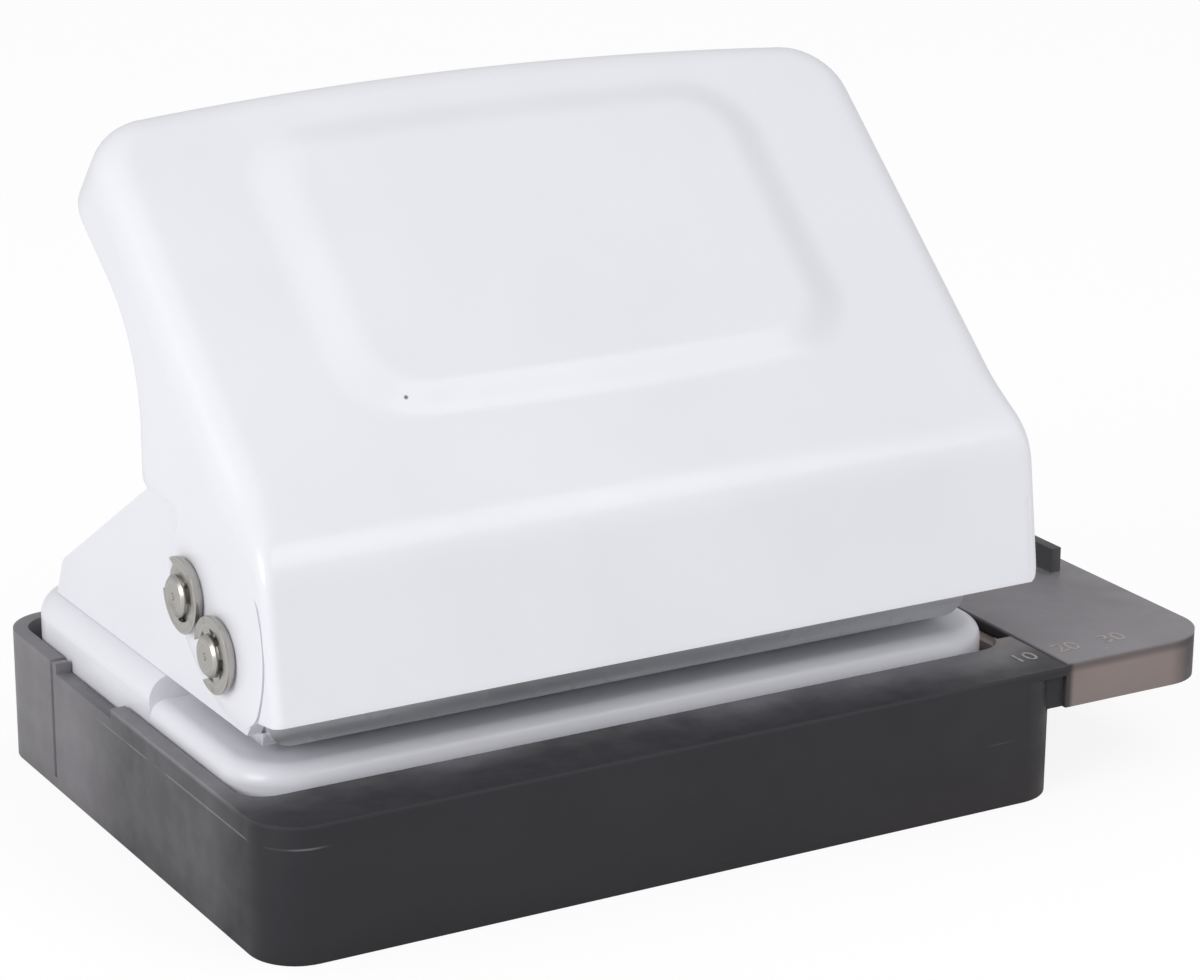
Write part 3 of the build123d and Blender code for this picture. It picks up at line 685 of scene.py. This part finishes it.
class Cheek:
    """A cheek's free edge, and the stretches of the handle's line whose rows end on it.

    Below the slit's top, rows end on the slit's front edge. From there to the fan, they end on its top corner.
    The fan's rows follow the edge round the tongue by its length, and the rows behind it drop straight down.
    """

    def __init__(self, line):
        self.line = line
        self.outline = cheek_outline()
        self.place, self.depth = line.panel_place(self.outline)
        self.walked = np.concatenate([[0], np.cumsum(np.hypot(*np.diff(self.outline, axis=0).T))])
        self.turn = np.argmax((self.place > FAN_END) & (self.outline[:, 1] > CHEEK_BOTTOM + 2))
        face = np.linspace(0, line.rise, 50)
        self.slit_top = np.interp(SLIT_TOP, line.at(face)[0][:, 1], face)
        self.fan_start = line.to_along(FAN_START)
        self.fan_end = line.to_along(self.place[self.turn])

    def fan_rows(self):
        """A row for each point of the free edge that the fan meets."""
        share = self.walked[: self.turn + 1] / self.walked[self.turn]
        return self.fan_start + share * (self.fan_end - self.fan_start)

    def ends(self, along, out_up, base, down):
        """Where straight runs from the base points end, all as (Y, Z). out_up is how far up the panel a base
        lies from its row. Three rounds, each to the slit's Y at the height last found, meet its parabola."""
        share = np.clip((along - self.fan_start) / (self.fan_end - self.fan_start), 0, 1)
        walk = share * self.walked[self.turn]
        fan = np.stack([np.interp(walk, self.walked, self.outline[:, axis]) for axis in (0, 1)], axis=1)
        place = self.line.from_knee(along) + out_up
        depth = np.interp(place, self.place[self.turn :], self.depth[self.turn :])
        behind = self.line.knee + place[:, None] * self.line.panel_way + depth[:, None] * self.line.panel_in
        end = np.where((along > self.fan_end)[:, None], behind, fan)
        slit = base
        for _ in range(3):
            run = np.maximum((slit_middle(slit[:, 1]) - SLIT_HALF - base[:, 0]) / down[:, 0], 0.05)
            slit = base + run[:, None] * down
        return np.where((along < self.slit_top)[:, None], slit, end)


def rear_corner(form):
    """Centre of a rear corner, across and up the panel from the knee, and the flat part's radius there."""
    across = form.half_width - form.corner_radius
    up = form.length - form.rear_bow - form.corner_radius
    return across, up, form.corner_radius - form.panel_bend


def handle_rows(form, line, cheek):
    """Each row's distance along the line, and the angle that it has turned round the rear corners."""
    _, corner_up, small = rear_corner(form)
    low = np.linspace(0, cheek.slit_top, 18, endpoint=False)
    over_slit = np.linspace(cheek.slit_top, cheek.fan_start, 14, endpoint=False)
    far = np.linspace(cheek.fan_end, line.to_along(corner_up), 56)[1:]
    straight = np.concatenate([low, over_slit, cheek.fan_rows(), far])
    turn = np.radians(np.linspace(0, 90, 12))[1:]
    rows = np.concatenate([straight, line.to_along(corner_up + small * np.sin(turn))])
    return rows, np.concatenate([np.zeros(len(straight)), turn])


def handle_panel(form, plateau, line, rows, angle, bend):
    """The panel as a grid, and each point's distance along the line: straight lines across the punch are
    carried along the line, bowed back as a parabola at the rear, and lifted inside the plateau's outline."""
    corner_x, corner_up, small = rear_corner(form)
    edge_x = np.where(angle > 0, corner_x + small * np.cos(angle), form.half_width - bend)
    x = edge_x[:, None] * np.linspace(-1, 1, ACROSS)
    pull = smooth_step((line.from_knee(rows) - FAN_END - 2) / (corner_up - FAN_END))[:, None]
    bow = form.rear_bow * np.maximum(1 - (x / corner_x) ** 2, 0)
    along = rows[:, None] + pull * bow
    point, _, inward = line.at(along)
    lift = form.plateau_height * plateau_rise(plateau, x, line.from_knee(along))
    point = point - inward * lift[..., None]
    return np.concatenate([x[..., None], point], axis=-1), along


def corner_rise(unrolled, along, x):
    """How far the front face's lower right corner is raised: an ellipse over the distance round the side
    bend, which fades out up the face."""
    reach = np.clip((unrolled + CORNER_START) / CORNER_WIDE, 0, 1)
    fade = np.clip(1 - along / CORNER_FADE, 0, 1) * (x > 0)
    return CORNER_TALL * (1 - np.sqrt(1 - reach**2)) * fade[:, None]


def handle_skirt(form, line, cheek, panel, along, angle, bend):
    """The skirt as a grid: from each point of the panel's border a quarter circle turns down, and a straight
    run goes on to the cheek's free edge, or to the rear flange's lower edge."""
    last, columns = len(panel) - 1, panel.shape[1]
    left = [(row, 0) for row in range(last)]
    rear = [(last, column) for column in range(columns)]
    right = [(row, columns - 1) for row in range(last - 1, -1, -1)]
    row, column = np.array(left + rear + right).T
    start, here, radius = panel[row, column], along[row, column], bend[row]
    _, way, inward = line.at(here)

    side = np.sign(2 * column - columns + 1)
    out_x, out_up = side * np.cos(angle[row]), np.sin(angle[row])
    inner = (row == last) & (column > 0) & (column < columns - 1)
    out_x = np.where(inner, 2 * form.rear_bow * start[:, 0] / rear_corner(form)[0] ** 2, out_x)
    size = np.hypot(out_x, out_up)
    out_x, out_up = out_x / size, out_up / size
    outward = np.column_stack([out_x, out_up[:, None] * way])
    down = np.column_stack([np.zeros(len(row)), inward])
    base = start + radius[:, None] * (outward + down)
    foot = np.column_stack([base[:, 0], cheek.ends(here, radius * out_up, base[:, 1:], down[:, 1:])])

    quarter = np.linspace(0, math.pi / 2, 9)
    sideways, fallen = np.sin(quarter)[:, None], 1 - np.cos(quarter)[:, None]
    rounds = start[:, None] + radius[:, None, None] * (sideways * outward[:, None] + fallen * down[:, None])
    share = np.linspace(0, 1, 13)[1:]
    walls = base[:, None] + share[:, None] * (foot - base)[:, None]
    skirt = np.concatenate([rounds, walls], axis=1)
    wall_length = np.linalg.norm(foot - base, axis=1)[:, None]
    unrolled = [radius[:, None] * quarter, radius[:, None] * math.pi / 2 + share * wall_length]
    rise = corner_rise(np.concatenate(unrolled, axis=1), here, start[:, 0])
    skirt[..., 1:] += rise[..., None] * way[:, None]
    return skirt


def handle_points(form, plateau):
    """The handle's outer skin as two grids, the panel and the skirt round it, which share the panel's border.
    The side bend's radius grows from the front face's to the panel's over twice the knee's arc."""
    line = HandleLine(form)
    cheek = Cheek(line)
    rows, angle = handle_rows(form, line, cheek)
    growth = smooth_step((rows - line.rise) / (2 * line.bend))
    bend = form.front_bend + (form.panel_bend - form.front_bend) * growth
    panel, along = handle_panel(form, plateau, line, rows, angle, bend)
    return panel, handle_skirt(form, line, cheek, panel, along, angle, bend)


class PUNCH_OT_handle(bpy.types.Operator):
    """Presses the handle: a smooth skin with plateau, cheeks and rear flange, given the sheet's thickness"""

    bl_idname = "punch.handle"
    bl_label = "Handle"

    def execute(self, context):
        form = plain(context.scene.punch_handle)
        panel, skirt = handle_points(form, plain(context.scene.punch_plateau))
        points = np.vstack([panel.reshape(-1, 3), skirt.reshape(-1, 3)])
        skirt_faces = grid_faces(*skirt.shape[:2], first=panel.shape[0] * panel.shape[1])
        faces = np.vstack([grid_faces(*panel.shape[:2]), skirt_faces])
        piece = make_piece("handle_shell", points, faces, merge=0.01)
        middle = min(piece.data.polygons, key=lambda face: abs(face.center.x) + abs(face.center.z - 0.07))
        if middle.normal.z < 0:
            piece.data.flip_normals()
        wall = piece.modifiers.new("sheet", "SOLIDIFY")
        wall.thickness = form.sheet * MM
        wall.offset = -1
        wall.use_even_offset = False
        settle(piece)
        round_edges(piece, 0.22)
        finish_piece(piece, finishes["handle_paint"], "lever", "white_paint", "handle")
        return {"FINISHED"}


# ---------------------------------------------------------------- pieces that keep the frame's shape


class PUNCH_OT_mouldings(bpy.types.Operator):
    """Rounds the edges of the chip tray and the paper guide"""

    bl_idname = "punch.mouldings"
    bl_label = "Tray and guide"

    def execute(self, context):
        edged_copy("chip_tray", 0.4, finishes["tray"], 3)
        edged_copy("paper_guide", 0.35, finishes["guide"], 3)
        return {"FINISHED"}


class PUNCH_OT_frame_plates(bpy.types.Operator):
    """Breaks the edges of the plates that guide the cutters"""

    bl_idname = "punch.frame_plates"
    bl_label = "Guide plates"

    def execute(self, context):
        for node in ("lower_guide", "upper_guide"):
            edged_copy(node, 0.25, finishes["zinc"])
        return {"FINISHED"}


class PUNCH_OT_pins(bpy.types.Operator):
    """Breaks the edges of the pins, washers and clips"""

    bl_idname = "punch.pins"
    bl_label = "Pins and clips"

    def execute(self, context):
        for part, pin in PINS:
            edged_copy(pin, 0.12, finishes[part])
            for side in ("left", "right"):
                edged_copy(f"{part}_washer_{side}", 0.08, finishes[part])
                edged_copy(f"{part}_clip_{side}", 0.1, finishes[part])
        return {"FINISHED"}


# ---------------------------------------------------------------- springs


def coil_points(settings, centre, low, high, radius):
    """A round wire carried along a helix, its end turns lying flatter: the height follows the turn with an
    ease at both ends, and the wire's circle lies across the helix's direction."""
    k = np.linspace(0, 1, settings.rings)
    angle = 2 * math.pi * settings.turns * k
    ease = k - 0.09 * np.sin(2 * math.pi * k)
    height = low + settings.wire / 2 + (high - low - settings.wire) * ease
    line = np.stack([centre[0] + radius * np.cos(angle), centre[1] + radius * np.sin(angle), height], axis=1)
    way = np.gradient(line, axis=0)
    way /= np.linalg.norm(way, axis=1, keepdims=True)
    out = np.stack([np.cos(angle), np.sin(angle), np.zeros(len(k))], axis=1)
    over = np.cross(way, out)
    ring = np.linspace(0, 2 * math.pi, settings.sides, endpoint=False)
    circle = out[:, None] * np.cos(ring)[None, :, None] + over[:, None] * np.sin(ring)[None, :, None]
    return line[:, None] + circle * settings.wire / 2


class PUNCH_OT_springs(bpy.types.Operator):
    """Winds the two return springs, which shorten as the lever comes down"""

    bl_idname = "punch.springs"
    bl_label = "Springs"

    def execute(self, context):
        settings = plain(context.scene.punch_spring)
        for side in ("left", "right"):
            node = side + "_return_spring"
            low, high = (np.array(end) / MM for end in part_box(node))
            centre = (low + high) / 2
            radius = (high[1] - low[1] - settings.wire) / 2
            grid = coil_points(settings, centre, low[2], high[2], radius)
            faces = grid_faces(*grid.shape[:2], closed_columns=True).tolist()
            last = settings.rings * settings.sides
            faces += [list(range(settings.sides)), list(range(last - settings.sides, last))]
            piece = make_piece(side + "_spring_coil", grid.reshape(-1, 3), faces, merge=0.0005)
            settle(piece)
            finish_piece(piece, finishes["spring"], BODY_OF[node], SLOT_OF[node], node)
            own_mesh(piece)
        return {"FINISHED"}


# ---------------------------------------------------------------- rivets


RIVET_HEAD = 4.0  # radius of the solid's head, which places the rivet in the box of all four
RIVET_HEAD_HEIGHT = 1.4
RIVET_TAIL_HEIGHT = 0.8
RIVET_RIM = 0.25
RIVET_SHANK = 2.0
RIVET_TAIL = 3.0
DOME_RADIUS = 3.8


def turned(profile, centre, steps=40):
    """A profile of (radius, height) points turned about an upright axis through centre."""
    profile = np.array(profile, float)
    angle = np.linspace(0, 2 * math.pi, steps, endpoint=False)
    ring = np.stack([np.cos(angle), np.sin(angle)], axis=1)
    flat = profile[:, None, :1] * ring[None]
    height = np.broadcast_to(profile[:, 1][:, None, None], (len(profile), steps, 1))
    return np.concatenate([flat, height], axis=2) + np.array([centre[0], centre[1], 0.0])


def rivet_profile(low, high):
    """A rivet from its tail to its domed head, whose height falls as the square of the radius."""
    foot_top, sheet_bottom = high - RIVET_HEAD_HEIGHT, low + RIVET_TAIL_HEIGHT
    rim = foot_top + RIVET_RIM
    dome = [(DOME_RADIUS * share, rim + (high - rim) * (1 - share**2)) for share in np.linspace(1, 0.02, 12)]
    tail = [(0.05, low), (RIVET_TAIL * 0.8, low), (RIVET_TAIL, low + RIVET_RIM), (RIVET_TAIL, sheet_bottom)]
    return [*tail, (RIVET_SHANK, sheet_bottom), (RIVET_SHANK, foot_top), (DOME_RADIUS, foot_top), *dome]


class PUNCH_OT_rivets(bpy.types.Operator):
    """Turns the four domed rivets that hold the side plates' feet"""

    bl_idname = "punch.rivets"
    bl_label = "Rivets"

    def execute(self, context):
        low, high = (np.array(end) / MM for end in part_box("frame_rivets"))
        profile = rivet_profile(low[2], high[2])
        across = (low[0] + RIVET_HEAD, high[0] - RIVET_HEAD)
        back = (low[1] + RIVET_HEAD, high[1] - RIVET_HEAD)
        grids = [turned(profile, (x, y)) for x in across for y in back]
        rows, steps = grids[0].shape[:2]
        faces = []
        for first in range(0, len(grids) * rows * steps, rows * steps):
            faces += grid_faces(rows, steps, first, closed_columns=True).tolist()
            faces.append(list(range(first, first + steps)))
            faces.append(list(range(first + (rows - 1) * steps, first + rows * steps)))
        points = np.vstack([grid.reshape(-1, 3) for grid in grids])
        piece = make_piece("rivet_heads", points, faces, merge=0.001)
        settle(piece)
        finish_piece(piece, finishes["rivet"], "frame", "bright_steel", "frame_rivets")
        return {"FINISHED"}


# ---------------------------------------------------------------- marks on the guide


MARK_ROW = -34.6
MARK_HEIGHT = 2.7
MARK_THICK = 0.06
DECK_MARKS = ((50.9, "10"),)
GUIDE_MARKS = ((57.3, "20"), (64.3, "30"))


def number_mesh(name, text, height, thickness):
    """A number as a flat solid, lying face up with its middle at the origin, in metres."""
    curve = bpy.data.curves.new(name, "FONT")
    curve.body = text
    curve.size = height * 1.35 * MM
    curve.extrude = thickness / 2 * MM
    curve.align_x = "CENTER"
    curve.align_y = "CENTER"
    holder = bpy.data.objects.new(name, curve)
    bpy.context.scene.collection.objects.link(holder)
    bpy.context.view_layer.update()
    mesh = bpy.data.meshes.new_from_object(holder.evaluated_get(bpy.context.evaluated_depsgraph_get()))
    bpy.data.objects.remove(holder)
    bpy.data.curves.remove(curve)
    return mesh


def add_marks(name, places, top, body):
    """Plain numbers on a flat top. places are (x, number) pairs."""
    work = bmesh.new()
    for x, number in places:
        mesh = number_mesh(name + number, number, MARK_HEIGHT, MARK_THICK)
        spots = np.empty(len(mesh.vertices) * 3)
        mesh.vertices.foreach_get("co", spots)
        spots = spots.reshape(-1, 3) + np.array([x, MARK_ROW, top + MARK_THICK / 2]) * MM
        mesh.vertices.foreach_set("co", spots.ravel())
        work.from_mesh(mesh)
        bpy.data.meshes.remove(mesh)
    bmesh.ops.remove_doubles(work, verts=work.verts, dist=0.001 * MM)
    bmesh.ops.recalc_face_normals(work, faces=work.faces)
    mesh = bpy.data.meshes.new(name)
    work.to_mesh(mesh)
    work.free()
    piece = bpy.data.objects.new(name, mesh)
    bpy.context.scene.collection.objects.link(piece)
    finish_piece(piece, finishes["marking"], body, "smoky_plastic")


class PUNCH_OT_marks(bpy.types.Operator):
    """Prints plain numbers on the tray's deck and the paper guide"""

    bl_idname = "punch.marks"
    bl_label = "Marks"

    def execute(self, context):
        add_marks("deck_marks", DECK_MARKS, corner("chip_tray", 1, 2), "chip_tray")
        guide_top = corner("paper_guide", 1, 2) - FENCE_HEIGHT
        add_marks("guide_marks", GUIDE_MARKS, guide_top, "paper_guide")
        return {"FINISHED"}


# ---------------------------------------------------------------- stage


LAMPS = {  # place and size, in metres
    "key": ((-0.9, -0.3, 0.45), 0.5),
    "front": ((0.334, -0.603, 0.62), 0.4),
    "top": ((0.05, -0.05, 1.0), 0.8),
}
FLOOR_HALF = 3000.0
FLOOR_GLOW = 0.85  # share of the floor that shows plain white


def area_lamp(name, place, target, size, power):
    """A square soft lamp, in metres, facing its target."""
    data = bpy.data.lights.new(name, "AREA")
    data.size = size
    data.energy = power
    lamp = bpy.data.objects.new(name, data)
    lamp.location = place
    lamp.rotation_euler = (target - lamp.location).to_track_quat("-Z", "Y").to_euler()
    bpy.context.scene.collection.objects.link(lamp)


def seen_directly(tree):
    """1 for rays that show the background itself: from the camera, or through what transmits."""
    path = tree.nodes.new("ShaderNodeLightPath")
    add = tree.nodes.new("ShaderNodeMath")
    add.operation = "MAXIMUM"
    tree.links.new(path.outputs["Is Camera Ray"], add.inputs[0])
    tree.links.new(path.outputs["Is Transmission Ray"], add.inputs[1])
    return add.outputs[0]


def white_world(strength):
    """A white surround: full strength where it is seen, and the given strength as light."""
    world = bpy.data.worlds.new("surround")
    bpy.context.scene.world = world
    world.use_nodes = True
    tree = world.node_tree
    background = tree.nodes["Background"]
    background.inputs["Color"].default_value = (1.0, 1.0, 1.0, 1.0)
    mix = tree.nodes.new("ShaderNodeMapRange")
    tree.links.new(seen_directly(tree), mix.inputs["Value"])
    mix.inputs["To Min"].default_value = strength
    mix.inputs["To Max"].default_value = 1.0
    tree.links.new(mix.outputs[0], background.inputs["Strength"])


def pale_floor():
    """A pale floor that keeps a faint shadow: part lit surface and part plain white where it is seen."""
    corners = [(x * FLOOR_HALF, y * FLOOR_HALF, 0) for x, y in ((-1, -1), (1, -1), (1, 1), (-1, 1))]
    floor = make_piece("floor", corners, [(0, 1, 2, 3)])
    coat = Finish("pale_floor")
    cloud = coat.blend(coat.noise(6.0), (0.9, 0.9, 0.9), (0.93, 0.93, 0.93))
    matte = coat.node("ShaderNodeBsdfDiffuse", Color=cloud).outputs[0]
    glow = coat.node("ShaderNodeEmission", Strength=1.03).outputs[0]
    share = coat.times(seen_directly(coat.tree), FLOOR_GLOW)
    mix = coat.node("ShaderNodeMixShader", i0=share, i1=matte, i2=glow).outputs[0]
    coat.feed(coat.tree.nodes["Material Output"].inputs["Surface"], mix)
    coat.tree.nodes.remove(coat.shader)
    floor.data.materials.append(coat.material)


class PUNCH_OT_stage(bpy.types.Operator):
    """Sets the floor, the lamps, the white surround and the camera"""

    bl_idname = "punch.stage"
    bl_label = "Stage"

    def execute(self, context):
        settings = plain(context.scene.punch_stage)
        middle = Vector((0, 0, settings.focus * MM))
        turn, lift = settings.azimuth, settings.elevation
        back = Vector((-math.sin(turn) * math.cos(lift), -math.cos(turn) * math.cos(lift), math.sin(lift)))
        data = bpy.data.cameras.new("camera")
        data.lens = settings.lens
        data.sensor_width = 36.0
        data.shift_x = settings.shift_x
        data.shift_y = settings.shift_y
        data.clip_start = 0.01
        camera = bpy.data.objects.new("camera", data)
        camera.location = middle + back * settings.distance * MM
        camera.rotation_euler = (-back).to_track_quat("-Z", "Y").to_euler()
        context.scene.collection.objects.link(camera)
        context.scene.camera = camera
        for name, (place, size) in LAMPS.items():
            area_lamp(name + "_lamp", place, middle, size, getattr(settings, name))
        white_world(settings.sky)
        pale_floor()
        context.scene.view_settings.view_transform = "Standard"
        return {"FINISHED"}


# ---------------------------------------------------------------- panel and registration


OPERATORS = (
    PUNCH_OT_finishes,
    PUNCH_OT_handle,
    PUNCH_OT_mouldings,
    PUNCH_OT_frame_plates,
    PUNCH_OT_pins,
    PUNCH_OT_springs,
    PUNCH_OT_rivets,
    PUNCH_OT_marks,
    PUNCH_OT_stage,
)
SETTINGS = {
    "punch_handle": PunchHandleSettings,
    "punch_plateau": PunchPlateauSettings,
    "punch_finish": PunchFinishSettings,
    "punch_spring": PunchSpringSettings,
    "punch_stage": PunchStageSettings,
}


class PUNCH_PT_panel(bpy.types.Panel):
    """Lists the punch's operators and settings"""

    bl_idname = "PUNCH_PT_panel"
    bl_label = "Desk Punch"
    bl_space_type = "VIEW_3D"
    bl_region_type = "UI"
    bl_category = "Punch"

    def draw(self, context):
        for operator in OPERATORS:
            self.layout.operator(operator.bl_idname)
        for name, group in SETTINGS.items():
            box = self.layout.box()
            box.label(text=name.replace("_", " ").capitalize())
            for entry in group.__annotations__:
                box.prop(getattr(context.scene, name), entry)


def register():
    """Registers the classes and hangs the settings on the scene."""
    for item in (*SETTINGS.values(), *OPERATORS, PUNCH_PT_panel):
        bpy.utils.register_class(item)
    for name, group in SETTINGS.items():
        setattr(bpy.types.Scene, name, PointerProperty(type=group))


def unregister():
    """Takes everything back that register did."""
    for name in SETTINGS:
        delattr(bpy.types.Scene, name)
    for item in (PUNCH_PT_panel, *reversed(OPERATORS), *reversed(SETTINGS.values())):
        bpy.utils.unregister_class(item)


def main():
    """Registers the add-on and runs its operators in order."""
    register()
    for operator in OPERATORS:
        group, name = operator.bl_idname.split(".")
        getattr(getattr(bpy.ops, group), name)()


if __name__ == "__main__":
    main()
